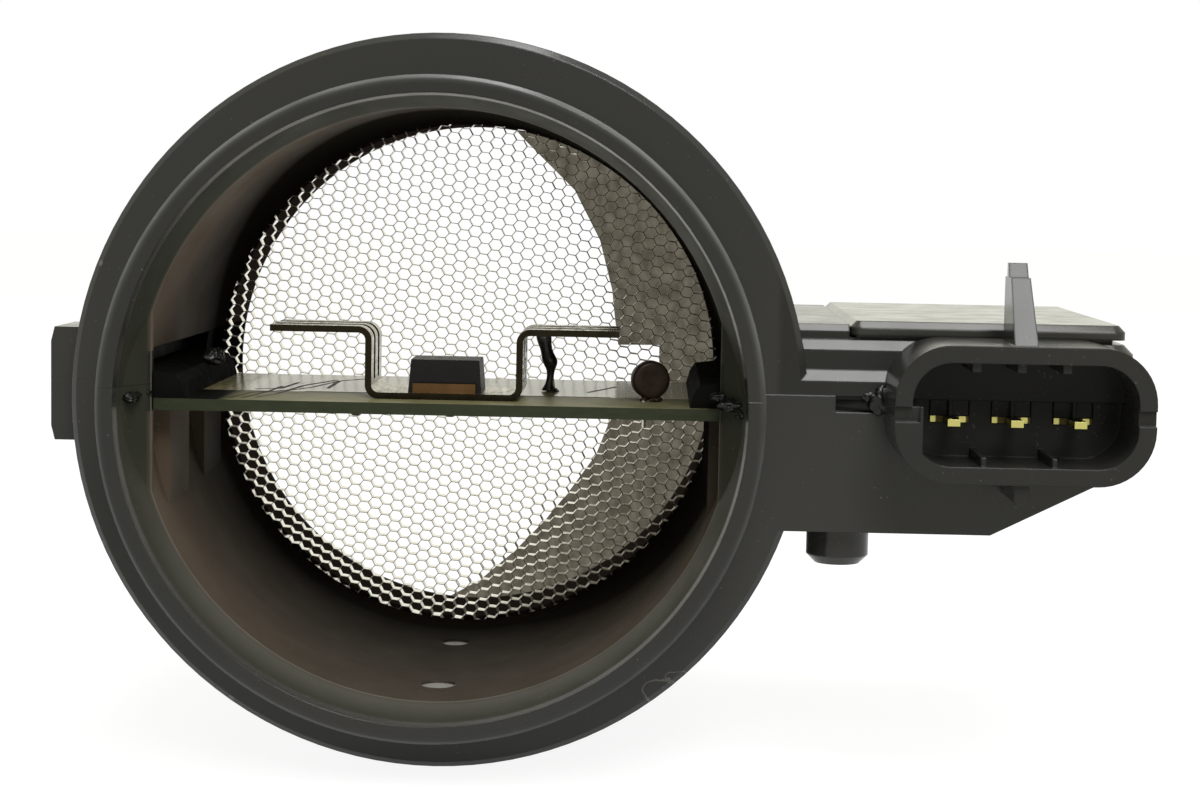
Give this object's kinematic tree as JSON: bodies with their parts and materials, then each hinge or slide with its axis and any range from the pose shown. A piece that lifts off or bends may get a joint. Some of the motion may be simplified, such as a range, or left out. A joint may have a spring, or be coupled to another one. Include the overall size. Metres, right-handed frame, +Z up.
{
  "type": "mass airflow sensor",
  "caption": "Tubular mass airflow sensor: a moulded flanged tube with a circuit board across the bore, an inlet screen and a side box with a latched connector socket.",
  "frame": {"origin": "centre of the bore in the plane of the outlet rim", "axes": "+Y along the bore from the outlet rim to the screened inlet, +X towards the electronics box, +Z up"},
  "size_m": [0.1513, 0.0909, 0.1012],
  "materials": {
    "housing": "moulded glass-filled plastic, satin charcoal",
    "cover": "moulded plastic, satin",
    "board": "glass-epoxy laminate with green solder mask",
    "screen": "fine aluminium foil honeycomb, bare",
    "heat_sink": "stamped strip, dull tin plate",
    "package": "moulded epoxy, fine matt",
    "copper": "copper tab, partly tinned",
    "leads": "tinned wire",
    "disc": "dipped brown coating, dull",
    "bead": "dark glass coat",
    "gold": "gold-plated brass",
    "sealant": "black silicone, glossy",
    "solder": "solder, bright",
    "chip": "moulded epoxy",
    "can": "drawn aluminium can",
    "resistor": "fired ceramic"
  },
  "bodies": {
    "root": {"upper_housing": "housing", "lower_housing": "housing", "electronics_cover": "cover", "cover_seal": "sealant", "inlet_screen": "screen", "screen_ring": "housing", "circuit_board": "board", "heat_sink": "heat_sink", "transistor_body": "package", "transistor_tab": "copper", "transistor_leads": "leads", "ceramic_disc": "disc", "disc_leads": "leads", "thermistor_bead": "bead", "thermistor_lead": "leads", "left_sealant": "sealant", "right_sealant": "sealant", "solder_joints": "solder", "control_chip": "chip", "chip_leads": "leads", "can_capacitors": "can", "chip_resistors": "resistor", "terminal_1": "gold", "terminal_2": "gold", "terminal_3": "gold"}
  },
  "joints": []
}
